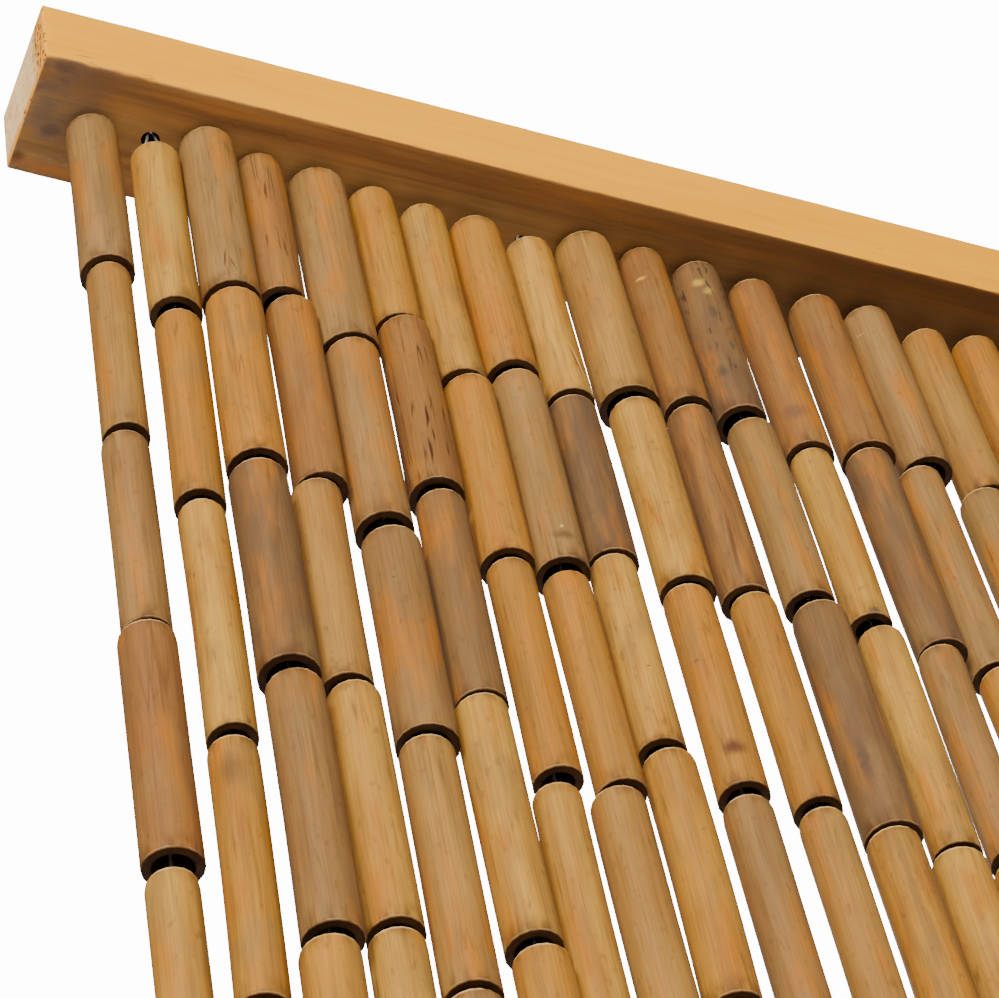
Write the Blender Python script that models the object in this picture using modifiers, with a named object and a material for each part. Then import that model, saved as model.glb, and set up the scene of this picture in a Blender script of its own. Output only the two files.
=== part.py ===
"""Bamboo door curtain: strands of bamboo tubes hung close together under a wooden top rail.

Metres, +Z up, the front towards -Y. The origin is the middle of the rail's back face, the flat
face that is fastened to the wall above a door. Each strand is a wire with bamboo tubes threaded on
it, end to end, so its solid is one stepped column with a step at each joint between two tubes. It
is four-sided, with a corner to the front and to each side, which keeps the tubes' real width there.
"""

import random
from collections import namedtuple
from math import cos, pi, sin

import bmesh
import bpy
from mathutils import Vector

MM = 0.001

CURTAIN_WIDTH = 560 * MM
CURTAIN_HEIGHT = 1850 * MM

RAIL_DEPTH = 34.5 * MM
RAIL_HEIGHT = 24.5 * MM
RAIL_ARRIS = 0.9 * MM

STRAND_COUNT = 36
TUBES_PER_STRAND = 25
STRAND_BEHIND_FRONT = 16.8 * MM
PITCH = 15.0 * MM
FIRST_STRAND_FROM_END = 16.9 * MM

WIRE_EYE_WIDTH = 3.0 * MM
SEAT_GAP = 0.3 * MM
SIDES = 4
BOTTOM_END_FLARE = 1.02
TOP_END_TAPER = 0.94
CORNER_TO_ROUND = 1.05
LEAST_GAP_BETWEEN_STRANDS = 0.6 * MM

# What is drawn for the tubes that aren't measured, in millimetres: a middle value and how far the
# drawn ones lie to either side of it.
TYPICAL_WIDTH = 11.6
WIDTH_SPREAD = 0.9
TYPICAL_LENGTH = 72.0
LENGTH_SPREAD = 4.0
TYPICAL_DROP = 4.0
DROP_SPREAD = 2.2
SWAY_SPREAD = 0.8
DEPTH_SWAY_SPREAD = 0.4
LEAN_SPREAD = 0.3
TYPICAL_JOINT_GAP = 1.7
JOINT_GAP_SPREAD = 1.3
PLACE_SPREAD = 0.7
END_SPREAD = 6.0

SEED = 36

# The strands at the left end, in millimetres. place: from the first strand; forward: towards the
# front from the row; drop: from the rail down to the first tube; then, for the first four tubes,
# width: across the tube; length: from its top to the next tube's; gap: open joint under it; and
# sway: sideways from the strand's place.
Strand = namedtuple("Strand", "place forward drop width length gap sway")
LEFT_STRANDS = (
    Strand(0.0, 0.0, 2.7, (11.8, 10.2, 10.3, 11.6, 10.1), (64.8, 66.1, 65.8, 71.6), (0.9, 2.0, 0.5, 3.2),
           (-0.2, 0.0, -0.2, 0.0, 0.0)),
    Strand(15.3, 0.0, 9.2, (11.4, 11.0, 10.3, 10.1), (71.4, 72.5, 76.8, 74.9), (2.3, 2.6, 2.6, 2.6),
           (-0.1, 0.9, 0.4, 0.0)),
    Strand(28.6, 3.0, 2.2, (13.1, 13.3, 12.7, 11.7), (69.8, 67.6, 69.7, 77.3), (0.5, 2.9, 2.0, 3.2),
           (-0.3, 1.3, -0.1, 1.2)),
    Strand(44.3, 0.0, 1.7, (11.4, 11.8, 11.1, 11.5), (63.1, 71.6, 69.6, 71.9), (1.6, 0.3, 1.5, 1.4),
           (-0.8, 1.3, -0.8, 0.0)),
    Strand(59.3, 0.0, 3.5, (13.7, 12.9, 12.8, 11.5), (74.6, 70.9, 69.9, 72.5), (0.9, 2.5, 1.8, 0.9),
           (-0.7, -0.2, 1.8, -0.7)),
    Strand(74.3, 0.0, 3.8, (11.3, 12.5, 11.2, 11.4), (58.3, 68.6, 70.9, 74.3), (0.3, 2.2, 0.3, 2.2),
           (-0.5, 0.8, -0.1, -0.7)),
    Strand(88.3, 0.0, 6.6, (11.4, 11.9, 10.4, 10.2), (73.6, 69.7, 75.0, 71.5), (0.4, 1.5, 4.2, 1.5),
           (-0.5, 0.8, 0.2, -1.3)),
    Strand(102.2, 0.0, 7.1, (12.6, 12.6, 10.5, 11.7), (67.0, 76.7, 72.5, 73.0), (2.0, 2.8, 1.8, 1.4),
           (-0.8, 1.0, 0.2, -1.9)),
    Strand(116.1, 0.0, 10.1, (11.5, 11.2, 10.7, 11.3), (69.2, 61.9, 66.6, 75.4), (1.3, 0.6, 2.0, 2.2),
           (0.3, 0.0, -0.9, -0.3)),
    Strand(133.4, 0.0, 2.3, (13.8, 12.5, 11.0, 10.8), (71.8, 72.5, 71.2, 73.5), (2.1, 1.8, 3.0, 1.6),
           (0.0, 0.9, -0.5, -0.8)),
    Strand(150.2, 0.0, 2.1, (11.5, 11.2, 10.5, 10.4), (68.4, 72.7, 73.4, 72.0), (1.0, 0.6, 2.5, 2.0),
           (-0.4, -0.4, 0.7, 0.8)),
    Strand(167.1, 0.0, 3.0, (12.2, 11.5, 12.5, 11.7), (67.4, 72.1, 77.2, 71.0), (1.8, 3.0, 0.7, 1.8),
           (-0.5, -0.5, 1.1, 0.0)),
    Strand(182.6, 0.0, 3.9, (11.5, 10.3, 10.7, 11.6), (73.7, 68.4, 75.9, 72.0), (0.3, 2.7, 1.5, 1.2),
           (-0.9, -0.1, 0.9, 0.0)),
    Strand(198.8, 0.0, 5.2, (12.9, 11.5, 10.4, 11.8), (67.1, 76.5, 72.0, 70.0), (0.5, 0.6, 1.5, 2.2),
           (1.0, 0.5, -0.8, 0.0)),
    Strand(214.8, 0.0, 3.5, (12.4, 11.2, 11.8, 11.0), (71.0, 78.5, 70.0, 73.0), (2.5, 1.3, 1.0, 1.6),
           (1.5, -1.6, -0.4, 0.0)),
    Strand(232.3, 0.0, 7.4, (11.6, 11.9, 11.2, 11.7), (71.0, 73.0, 69.0, 72.0), (1.0, 2.0, 0.8, 2.0),
           (0.3, -1.7, -0.3, 0.0)),
    Strand(248.0, 0.0, 5.0, (11.8, 11.2, 11.9, 11.4), (70.0, 74.0, 71.0, 70.5), (1.5, 0.5, 2.4, 1.0),
           (0.5, -0.4, 0.3, 0.0)),
)
MEASURED_TUBES = 4

RAIL_COLOUR = (0.73, 0.42, 0.13)
BAMBOO_COLOURS = ((0.58, 0.35, 0.12), (0.42, 0.30, 0.11), (0.50, 0.24, 0.09), (0.36, 0.22, 0.12))
RAIL_ROUGHNESS = 0.45
BAMBOO_ROUGHNESS = 0.38

RAIL_UNDERSIDE = -RAIL_HEIGHT / 2
STRAND_ROW = -RAIL_DEPTH + STRAND_BEHIND_FRONT
FIRST_STRAND = -CURTAIN_WIDTH / 2 + FIRST_STRAND_FROM_END
LAST_STRAND = CURTAIN_WIDTH / 2 - FIRST_STRAND_FROM_END
CURTAIN_FOOT = RAIL_HEIGHT / 2 - CURTAIN_HEIGHT


def clear_scene():
    """Takes out whatever objects the open file holds."""
    for item in list(bpy.data.objects):
        bpy.data.objects.remove(item, do_unlink=True)


def finish(name, colour, roughness):
    """A plain finish: one colour and one roughness, not metallic."""
    material = bpy.data.materials.new(name)
    material.use_nodes = True
    shader = material.node_tree.nodes["Principled BSDF"]
    shader.inputs["Base Color"].default_value = (*colour, 1.0)
    shader.inputs["Roughness"].default_value = roughness
    shader.inputs["Metallic"].default_value = 0.0
    material.diffuse_color = (*colour, 1.0)
    return material


def make_object(name, bm, material, collection):
    """Turns a bmesh into a named object of the collection."""
    mesh = bpy.data.meshes.new(name)
    bmesh.ops.recalc_face_normals(bm, faces=bm.faces[:])
    bm.to_mesh(mesh)
    bm.free()
    mesh.materials.append(material)
    item = bpy.data.objects.new(name, mesh)
    collection.objects.link(item)
    return item


def make_rail(collection):
    """The planed wooden batten that all strands hang from, its long edges just broken."""
    bm = bmesh.new()
    bmesh.ops.create_cube(bm, size=1.0)
    bmesh.ops.scale(bm, vec=(CURTAIN_WIDTH, RAIL_DEPTH, RAIL_HEIGHT), verts=bm.verts[:])
    rail = make_object("rail", bm, finish("rail wood", RAIL_COLOUR, RAIL_ROUGHNESS), collection)
    rail.location = (0.0, -RAIL_DEPTH / 2, 0.0)
    arris = rail.modifiers.new("broken arris", "BEVEL")
    arris.width = RAIL_ARRIS
    arris.segments = 1
    return rail


def fill_row(measured, typical, spread, draw):
    """A strand's measured values, then drawn ones for the tubes further down."""
    rest = TUBES_PER_STRAND - len(measured)
    return list(measured) + [typical + spread * draw.uniform(-1.0, 1.0) for _ in range(rest)]


def strand_rows():
    """All strands from left to right: the measured ones, then seeded ones that follow them."""
    draw = random.Random(SEED)
    rows = list(LEFT_STRANDS)
    last_measured = rows[-1].place
    to_place = (LAST_STRAND - FIRST_STRAND) / MM - last_measured
    missing = STRAND_COUNT - len(rows)
    for number in range(1, missing + 1):
        even = last_measured + to_place * number / missing
        shift = PLACE_SPREAD * draw.uniform(-1.0, 1.0) if number < missing else 0.0
        drop = TYPICAL_DROP + DROP_SPREAD * draw.uniform(-1.0, 1.0)
        rows.append(Strand(even + shift, 0.0, drop, (), (), (), ()))
    return rows


def tube_list(row, draw):
    """Each tube of a strand: top height, bottom height, width, top, bottom and depth sway."""
    widths = fill_row(row.width, TYPICAL_WIDTH, WIDTH_SPREAD, draw)
    lengths = fill_row(row.length, TYPICAL_LENGTH, LENGTH_SPREAD, draw)
    gaps = fill_row(row.gap, TYPICAL_JOINT_GAP, JOINT_GAP_SPREAD, draw)
    sways = fill_row(row.sway, 0.0, SWAY_SPREAD, draw)
    depth_sways = fill_row((), 0.0, DEPTH_SWAY_SPREAD, draw)
    top = RAIL_UNDERSIDE - row.drop * MM
    foot = CURTAIN_FOOT + END_SPREAD * draw.uniform(0.0, 1.0) * MM
    measured = sum(lengths[:MEASURED_TUBES])
    stretch = ((top - foot) / MM - measured) / (sum(lengths) - measured)
    tubes = []
    for number in range(TUBES_PER_STRAND):
        scale = 1.0 if number < MEASURED_TUBES else stretch
        length = lengths[number] * scale * MM
        last = number == TUBES_PER_STRAND - 1
        bottom = top - length + (0.0 if last else gaps[number] * MM)
        lean = LEAN_SPREAD * MM * draw.uniform(-1.0, 1.0)
        tubes.append((top, bottom, widths[number] * MM, sways[number] * MM - lean,
                      sways[number] * MM + lean, depth_sways[number] * MM))
        top -= length
    return tubes


def ring(x, y, z, across):
    """The corners of one level section of a strand, with a corner at the front and at each side."""
    radius = across / 2
    return [Vector((x + radius * cos(2 * pi * k / SIDES), y + radius * sin(2 * pi * k / SIDES), z))
            for k in range(SIDES)]


def loft(bm, rings):
    """Joins level sections into one closed column, with a flat face at each end."""
    levels = [[bm.verts.new(corner) for corner in section] for section in rings]
    for upper, lower in zip(levels, levels[1:]):
        for k in range(SIDES):
            after = (k + 1) % SIDES
            bm.faces.new((upper[k], lower[k], lower[after], upper[after]))
    bm.faces.new(levels[0])
    bm.faces.new(levels[-1][::-1])


def strand_sections(x, y, tubes, limit_left, limit_right):
    """The sections of a strand from its wire eye down, each kept inside the strand's own room."""
    first_top = tubes[0][0]
    eye_x = x + tubes[0][3]
    eye_y = y + tubes[0][5]
    sections = [ring(eye_x, eye_y, RAIL_UNDERSIDE - SEAT_GAP, WIRE_EYE_WIDTH),
                ring(eye_x, eye_y, first_top, WIRE_EYE_WIDTH)]
    for top, bottom, width, top_sway, bottom_sway, depth_sway in tubes:
        ends = ((top, width * TOP_END_TAPER, top_sway), (bottom, width * BOTTOM_END_FLARE, bottom_sway))
        for height, across, sway in ends:
            corner_width = min(across * CORNER_TO_ROUND, limit_right - limit_left)
            half = corner_width / 2
            centre = min(max(x + sway, limit_left + half), limit_right - half)
            sections.append(ring(centre, y + depth_sway, height, corner_width))
    return sections


def make_strands(collection):
    """One solid for each strand. Neighbours never touch: each keeps to its side of the midline."""
    rows = strand_rows()
    draw = random.Random(SEED + 1)
    places = [FIRST_STRAND + row.place * MM for row in rows]
    edge = CURTAIN_WIDTH / 2
    for number, (row, x) in enumerate(zip(rows, places)):
        before = places[number - 1] if number else -edge
        after = places[number + 1] if number < len(rows) - 1 else edge
        half_gap = LEAST_GAP_BETWEEN_STRANDS / 2
        left = max((before + x) / 2 + half_gap, -edge) if number else x - PITCH / 2
        right = min((x + after) / 2 - half_gap, edge) if number < len(rows) - 1 else x + PITCH / 2
        bm = bmesh.new()
        loft(bm, strand_sections(x, STRAND_ROW - row.forward * MM, tube_list(row, draw), left, right))
        colour = BAMBOO_COLOURS[number % len(BAMBOO_COLOURS)]
        name = "strand_%02d" % (number + 1)
        make_object(name, bm, finish("bamboo " + name, colour, BAMBOO_ROUGHNESS), collection)


clear_scene()
curtain = bpy.data.collections.new("bamboo_door_curtain")
bpy.context.scene.collection.children.link(curtain)
make_rail(curtain)
make_strands(curtain)
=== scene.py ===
"""Bamboo door curtain: the looks of the hung bamboo tubes, their wires and the stained top rail.

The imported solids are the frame. Each strand's tubes are made where the steps of its solid are, and
the rail where its solid is, so nothing here moves or resizes the curtain. Metres, +Z up, the front
towards -Y, and +X to the right as seen from the front.
"""

from math import cos, pi, radians, sin

import bpy
import numpy as np
from mathutils import Matrix, Vector


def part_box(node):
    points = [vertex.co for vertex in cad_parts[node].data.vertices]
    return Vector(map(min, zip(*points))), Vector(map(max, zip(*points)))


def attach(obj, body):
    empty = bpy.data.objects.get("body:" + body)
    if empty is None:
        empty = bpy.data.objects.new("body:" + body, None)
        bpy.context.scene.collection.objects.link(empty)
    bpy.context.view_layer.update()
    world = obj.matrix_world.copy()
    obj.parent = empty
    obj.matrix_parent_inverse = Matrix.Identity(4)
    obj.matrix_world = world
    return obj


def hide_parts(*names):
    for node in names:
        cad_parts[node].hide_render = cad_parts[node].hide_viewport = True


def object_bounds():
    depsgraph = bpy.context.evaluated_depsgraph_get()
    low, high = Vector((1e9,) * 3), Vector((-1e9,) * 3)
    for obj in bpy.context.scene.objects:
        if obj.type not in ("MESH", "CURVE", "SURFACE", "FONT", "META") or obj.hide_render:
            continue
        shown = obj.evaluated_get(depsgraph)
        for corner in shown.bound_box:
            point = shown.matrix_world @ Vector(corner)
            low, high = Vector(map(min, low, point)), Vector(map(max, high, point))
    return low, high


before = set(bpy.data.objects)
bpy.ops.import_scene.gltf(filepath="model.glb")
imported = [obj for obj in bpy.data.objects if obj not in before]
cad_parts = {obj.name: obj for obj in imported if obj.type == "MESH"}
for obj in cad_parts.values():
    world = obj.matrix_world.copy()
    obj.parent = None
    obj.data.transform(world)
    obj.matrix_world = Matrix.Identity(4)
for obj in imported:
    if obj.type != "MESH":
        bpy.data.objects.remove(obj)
CAD_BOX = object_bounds()

# Top rail
# A planed softwood batten, 34.5 mm deep and 24.5 mm high, stained yellow ochre and sawn off square.
# Its arrises are broken by hand, so they are uneven, and it is drilled from below for each strand.

MM = 0.001
RAIL_LOW, RAIL_HIGH = (Vector(corner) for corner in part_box("rail"))
ARRIS_STEPS = 4
STATION_SPACING = 2.2 * MM
END_ARRIS = 0.7 * MM
RAIL_SEED = 7
# The four long arrises, from the top front one round by the underside: middle radius and unevenness.
LONG_ARRISES = ((0.5, 0.2), (0.45, 0.28), (0.7, 0.3), (0.8, 0.25))
LEAST_ARRIS = 0.15 * MM
# Where the lower front arris is chipped: place along the rail in metres, then the chip's width and
# depth in millimetres.
CHIPS = ((-0.2795, 5.0, 1.3), (-0.2685, 3.0, 0.9), (-0.2600, 4.0, 0.5), (-0.2530, 2.4, 0.8),
         (-0.2405, 5.0, 0.4))
HOLE_RADIUS = 1.5 * MM
WIDE_HOLE_RADIUS = 2.4 * MM
HOLE_DEPTH = 12.0 * MM
HOLE_SIDES = 14
# The holes lie to the right of their tubes' middles and behind them, give or take a hand's error.
HOLE_OFFSET = np.array([0.9, 2.3]) * MM
HOLE_ERROR = np.array([0.5, 0.3]) * MM
BIT_BELOW_RAIL = 2.0 * MM
SAME_HEIGHT = 0.1 * MM
RAIL_CREASE_DEGREES = 45
STRAND_NAMES = sorted(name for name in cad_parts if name.startswith("strand_"))


def hex_to_linear(code):
    """An sRGB colour such as "#D4AE68" as linear red, green and blue."""
    srgb = np.array([int(code[k:k + 2], 16) for k in (1, 3, 5)]) / 255.0
    return np.where(srgb <= 0.04045, srgb / 12.92, ((srgb + 0.055) / 1.055) ** 2.4)


def colour(code):
    """An sRGB hex colour as the four linear numbers that a colour socket takes."""
    return (*hex_to_linear(code), 1.0)


def add_node(tree, kind, settings=None, links=None, **properties):
    """Adds a node with its properties, its unlinked input values and what its inputs link from."""
    node = tree.nodes.new(kind)
    for key, value in properties.items():
        setattr(node, key, value)
    for key, value in (settings or {}).items():
        node.inputs[key].default_value = value
    for key, source in (links or {}).items():
        tree.links.new(source, node.inputs[key])
    return node


def set_or_link(tree, socket, value):
    """Gives a socket a number or colour, or links it from another socket."""
    if isinstance(value, bpy.types.NodeSocket):
        tree.links.new(value, socket)
    else:
        socket.default_value = value


def mix(tree, factor, first, second):
    """The second colour over the first, by a factor."""
    node = add_node(tree, "ShaderNodeMix", data_type="RGBA")
    for socket, value in ((node.inputs[0], factor), (node.inputs[6], first), (node.inputs[7], second)):
        set_or_link(tree, socket, value)
    return node.outputs[2]


def calculate(tree, operation, *values):
    """The result of one arithmetic step on sockets or numbers."""
    node = add_node(tree, "ShaderNodeMath", operation=operation)
    for socket, value in zip(node.inputs, values):
        set_or_link(tree, socket, value)
    return node.outputs[0]


def ramp(tree, value, low, high, to_low=0.0, to_high=1.0):
    """A smooth step from one value to another while the input goes from low to high."""
    return add_node(tree, "ShaderNodeMapRange", interpolation_type="SMOOTHSTEP",
                    settings={"From Min": low, "From Max": high, "To Min": to_low, "To Max": to_high},
                    links={"Value": value}).outputs["Result"]


def over(tree, below, code, mark, amount, strength=1.0):
    """A colour laid over another where the mark is, at a strength and at most by an amount."""
    factor = calculate(tree, "MULTIPLY", calculate(tree, "MULTIPLY", mark, strength), amount)
    return mix(tree, factor, below, colour(code))


def spots_of(tree, place, size_mm, location, detail, roughness=0.5):
    """The outputs of noise whose spots have these sizes in millimetres along the three axes."""
    scaled = add_node(tree, "ShaderNodeMapping", links={"Vector": place},
                      settings={"Scale": tuple(1 / (size * MM) for size in size_mm), "Location": location})
    return add_node(tree, "ShaderNodeTexNoise", links={"Vector": scaled.outputs["Vector"]},
                    settings={"Scale": 1.0, "Detail": detail, "Roughness": roughness}).outputs


def pattern(tree, place, size_mm, low, high, detail=3.0, shift=0.0):
    """Noise as a value that goes smoothly from 0 to 1 while the noise goes from low to high."""
    noise = spots_of(tree, place, size_mm, (shift, shift * 1.7, shift * 2.3), detail, 0.55)
    return ramp(tree, noise["Fac"], low, high)


def crumpled(tree, place, amount_mm, size_mm, shift):
    """The place moved by noise, up to about this far, so that the outline of a mark wanders."""
    noise = spots_of(tree, place, (size_mm,) * 3, (shift,) * 3, 2.0)
    centred = add_node(tree, "ShaderNodeVectorMath", operation="SUBTRACT", settings={1: (0.5, 0.5, 0.5)},
                       links={0: noise["Color"]})
    return add_node(tree, "ShaderNodeVectorMath", operation="MULTIPLY_ADD",
                    settings={1: (2 * amount_mm * MM,) * 3},
                    links={0: centred.outputs[0], 2: place}).outputs[0]


def blot(tree, place, centre, size_mm, turn=0.0, soft=0.6):
    """One mark, 1 in its middle and 0 outside: an ellipsoid with a soft edge, turned about Y."""
    local = add_node(tree, "ShaderNodeMapping", vector_type="TEXTURE", links={"Vector": place},
                     settings={"Location": centre, "Rotation": (0.0, radians(turn), 0.0),
                               "Scale": tuple(size * MM for size in size_mm)})
    away = add_node(tree, "ShaderNodeVectorMath", operation="LENGTH", links={0: local.outputs["Vector"]})
    return ramp(tree, away.outputs["Value"], 1.0 - soft, 1.0, 1.0, 0.0)


def hairlines(tree, place, size_mm, width, shift):
    """Thin wandering lines: where noise, stretched to these sizes, crosses its middle value."""
    noise = spots_of(tree, place, size_mm, (shift, shift * 1.3, shift * 2.1), 1.0)
    apart = calculate(tree, "ABSOLUTE", calculate(tree, "SUBTRACT", noise["Fac"], 0.5))
    return ramp(tree, apart, 0.0, width, 1.0, 0.0)


def attribute(tree, name, output="Fac"):
    """One of the mesh's own attributes, as a number or as what the named output gives."""
    return add_node(tree, "ShaderNodeAttribute", attribute_name=name).outputs[output]


def new_material(name):
    """An empty node material, with its tree."""
    material = bpy.data.materials.new(name)
    material.use_nodes = True
    material.node_tree.nodes.clear()
    return material, material.node_tree


def mesh_from_arrays(name, points, quads, caps=()):
    """A smooth-shaded mesh object with these points, four-cornered faces and many-sided end caps."""
    mesh = bpy.data.meshes.new(name)
    corners = np.concatenate([quads.ravel(), *caps]).astype(np.int32)
    sizes = np.array([4] * len(quads) + [len(cap) for cap in caps])
    starts = np.concatenate([[0], np.cumsum(sizes)[:-1]]).astype(np.int32)
    mesh.vertices.add(len(points))
    mesh.vertices.foreach_set("co", points.astype(np.float32).ravel())
    mesh.loops.add(len(corners))
    mesh.loops.foreach_set("vertex_index", corners)
    mesh.polygons.add(len(sizes))
    mesh.polygons.foreach_set("loop_start", starts)
    mesh.update(calc_edges=True)
    mesh.validate()
    mesh.shade_smooth()
    item = bpy.data.objects.new(name, mesh)
    bpy.context.scene.collection.objects.link(item)
    return item


def crease(item, degrees):
    """Shades the edges sharp where the surface turns by more than this angle."""
    item.data.set_sharp_from_angle(angle=radians(degrees))


def add_attribute(item, name, kind, values):
    """Writes one value a point: a FLOAT, a FLOAT_VECTOR or a FLOAT_COLOR."""
    field = {"FLOAT": "value", "FLOAT_VECTOR": "vector", "FLOAT_COLOR": "color"}[kind]
    layer = item.data.attributes.new(name, kind, "POINT")
    layer.data.foreach_set(field, np.ascontiguousarray(values, dtype=np.float32).ravel())


def loft_faces(rows, sides):
    """Quads between neighbouring rows of a closed section, whose points go row by row."""
    row, side = np.meshgrid(np.arange(rows - 1), np.arange(sides), indexing="ij")
    after = (side + 1) % sides
    return np.stack([row * sides + side, row * sides + after,
                     (row + 1) * sides + after, (row + 1) * sides + side], axis=-1).reshape(-1, 4)


def uneven(along, spacing, draw):
    """Values between -1 and 1 that change smoothly along a length, with a knot each spacing."""
    knots = np.arange(along.min() - spacing, along.max() + 2 * spacing, spacing)
    values = draw.uniform(-1, 1, size=len(knots))
    cell = np.clip(np.searchsorted(knots, along) - 1, 0, len(knots) - 2)
    part = np.clip((along - knots[cell]) / spacing, 0, 1)
    blend = part * part * (3 - 2 * part)
    return values[cell] * (1 - blend) + values[cell + 1] * blend


def rail_sections():
    """Points of the rail's sections from end to end, and where they are on a rounded arris.

    A section is a rectangle with a quarter circle at each corner. Its radius changes along the
    rail, and the last sections draw inwards to round the end's arris and fill the sawn end.
    """
    draw = np.random.default_rng(RAIL_SEED)
    length = RAIL_HIGH.x - RAIL_LOW.x
    middle = np.linspace(RAIL_LOW.x + END_ARRIS, RAIL_HIGH.x - END_ARRIS, int(length / STATION_SPACING))
    turn = np.array([0.0, 0.3, 0.65, 1.0]) * pi / 2
    step_in = np.concatenate([END_ARRIS * (1 - np.cos(turn)), END_ARRIS + np.array([1.2, 3.2]) * MM])
    step_out = np.concatenate([END_ARRIS * np.sin(turn), [END_ARRIS, END_ARRIS]])
    x = np.concatenate([middle[0] - step_out[::-1], middle[1:-1], middle[-1] + step_out])
    inset = np.concatenate([step_in[::-1], np.zeros(len(middle) - 2), step_in])
    radii = np.stack([MM * (size + spread * (0.6 * uneven(x, 11 * MM, draw) + 0.4 * uneven(x, 3 * MM, draw)))
                      for size, spread in LONG_ARRISES])
    for chip, width, depth in CHIPS:
        radii[1] += depth * MM * np.exp(-((x - chip) / (width * MM / 2)) ** 2)
    signs = ((-1, 1), (-1, -1), (1, -1), (1, 1))
    flat_shares = ((0.02, 0.35, 0.65, 0.98), (0.015, 0.2, 0.4, 0.6, 0.8, 0.985)) + ((0.02, 0.5, 0.98),) * 2
    half_y, half_z = (RAIL_HIGH.y - RAIL_LOW.y) / 2, (RAIL_HIGH.z - RAIL_LOW.z) / 2
    centre_y, centre_z = (RAIL_HIGH.y + RAIL_LOW.y) / 2, (RAIL_HIGH.z + RAIL_LOW.z) / 2
    columns_y, columns_z, on_arris = [], [], []
    for corner, (sign_y, sign_z) in enumerate(signs):
        radius = np.maximum(radii[corner] - inset, LEAST_ARRIS)
        for step in range(ARRIS_STEPS + 1):
            swing = (corner + step / ARRIS_STEPS) * pi / 2
            out_y, out_z = -sin(swing), cos(swing)
            columns_y.append(sign_y * (half_y - inset - radius) + radius * out_y)
            columns_z.append(sign_z * (half_z - inset - radius) + radius * out_z)
            on_arris.append(1.0)
        next_radius = np.maximum(radii[(corner + 1) % 4] - inset, LEAST_ARRIS)
        next_y, next_z = signs[(corner + 1) % 4]
        end_y = next_y * (half_y - inset - next_radius) + next_radius * -sin((corner + 1) * pi / 2)
        end_z = next_z * (half_z - inset - next_radius) + next_radius * cos((corner + 1) * pi / 2)
        start_y, start_z = columns_y[-1], columns_z[-1]
        for part in flat_shares[corner]:
            columns_y.append(start_y + (end_y - start_y) * part)
            columns_z.append(start_z + (end_z - start_z) * part)
            on_arris.append(0.0)
    y, z = np.array(columns_y).T + centre_y, np.array(columns_z).T + centre_z
    points = np.stack([np.broadcast_to(x[:, None], y.shape), y, z], axis=-1)
    on_arris = np.maximum(np.array(on_arris)[None, :], (inset[:, None] > 0) & (inset[:, None] < END_ARRIS))
    return points, on_arris * np.ones(y.shape)


def strand_sections(name):
    """The level sections of a strand's solid, from the top down, as rows of x, y, z and width.

    Corners that lie within a tenth of a millimetre in height are one section. Its centre is the
    middle of their extent, and its width is their extent from side to side.
    """
    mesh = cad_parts[name].data
    corners = np.empty(len(mesh.vertices) * 3)
    mesh.vertices.foreach_get("co", corners)
    corners = corners.reshape(-1, 3)
    corners = corners[np.argsort(-corners[:, 2])]
    cuts = np.flatnonzero(np.diff(-corners[:, 2]) > SAME_HEIGHT) + 1
    rows = []
    for section in np.split(corners, cuts):
        low, high = section.min(axis=0), section.max(axis=0)
        rows.append([*((low + high) / 2), high[0] - low[0]])
    return np.array(rows)


def hole_places():
    """Where the rail is drilled and how wide: over each strand's first tube, a little off by hand.

    The second strand's hole is straight above it, and was drilled wider than the others.
    """
    draw = np.random.default_rng(RAIL_SEED + 1)
    places = np.array([strand_sections(name)[1, :2] for name in STRAND_NAMES])
    slips = draw.uniform(-1.0, 1.0, size=places.shape) * HOLE_ERROR + HOLE_OFFSET
    slips[1] = (0.0, 0.0)
    radii = np.full(len(places), HOLE_RADIUS)
    radii[1] = WIDE_HOLE_RADIUS
    return places + slips, radii


def drill(item, places, radii, inside):
    """Cuts a blind hole at each place into the rail's underside, with a Boolean that is applied.

    The walls of the holes get the material given for their inside.
    """
    angle = np.arange(HOLE_SIDES) * 2 * pi / HOLE_SIDES
    ring = radii[:, None, None, None] * np.stack([np.cos(angle), np.sin(angle)], axis=-1)
    levels = RAIL_LOW.z + np.array([-BIT_BELOW_RAIL, HOLE_DEPTH])
    flat = np.broadcast_to(places[:, None, None, :] + ring, (len(places), 2, HOLE_SIDES, 2))
    height = np.broadcast_to(levels[None, :, None, None], (len(places), 2, HOLE_SIDES, 1))
    points = np.concatenate([flat, height], axis=-1).reshape(-1, 3)
    first = np.arange(len(places)) * 2 * HOLE_SIDES
    quads = (loft_faces(2, HOLE_SIDES)[None] + first[:, None, None]).reshape(-1, 4)
    bottom = first[:, None] + np.arange(HOLE_SIDES)[::-1]
    top = first[:, None] + HOLE_SIDES + np.arange(HOLE_SIDES)
    bits = mesh_from_arrays("drill_bits", points, quads, [*bottom, *top])
    bits.data.materials.append(inside)
    cut = item.modifiers.new("drilled", "BOOLEAN")
    cut.operation = "DIFFERENCE"
    cut.solver = "EXACT"
    cut.material_mode = "TRANSFER"
    cut.object = bits
    bpy.context.view_layer.update()
    item.data = bpy.data.meshes.new_from_object(item.evaluated_get(bpy.context.evaluated_depsgraph_get()))
    item.modifiers.clear()
    bpy.data.objects.remove(bits)


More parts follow.
